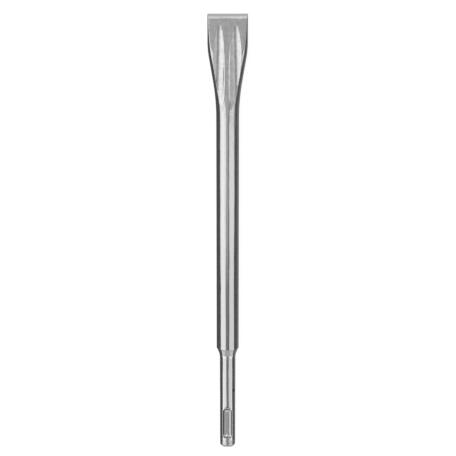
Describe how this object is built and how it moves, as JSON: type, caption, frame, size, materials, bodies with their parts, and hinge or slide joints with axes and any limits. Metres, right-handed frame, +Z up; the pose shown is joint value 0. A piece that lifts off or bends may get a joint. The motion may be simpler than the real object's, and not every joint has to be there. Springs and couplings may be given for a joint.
{
  "type": "rotary hammer flat chisel",
  "caption": "Flat chisel for a rotary hammer: slotted round shank, round shaft, and a flared, fluted blade with a bevelled cutting edge.",
  "frame": {"origin": "middle of the bounding box on the surface that the shaft lies on", "axes": "+Y along the tool's axis towards the cutting edge, +X across the blade's width, +Z up out of the upper blade face"},
  "size_m": [0.0244, 0.2726, 0.014],
  "materials": {
    "steel": "bright forged and finely ground tool steel, glossy, with fine lines and small dark specks"
  },
  "bodies": {
    "root": {"chisel": "steel"}
  },
  "joints": []
}
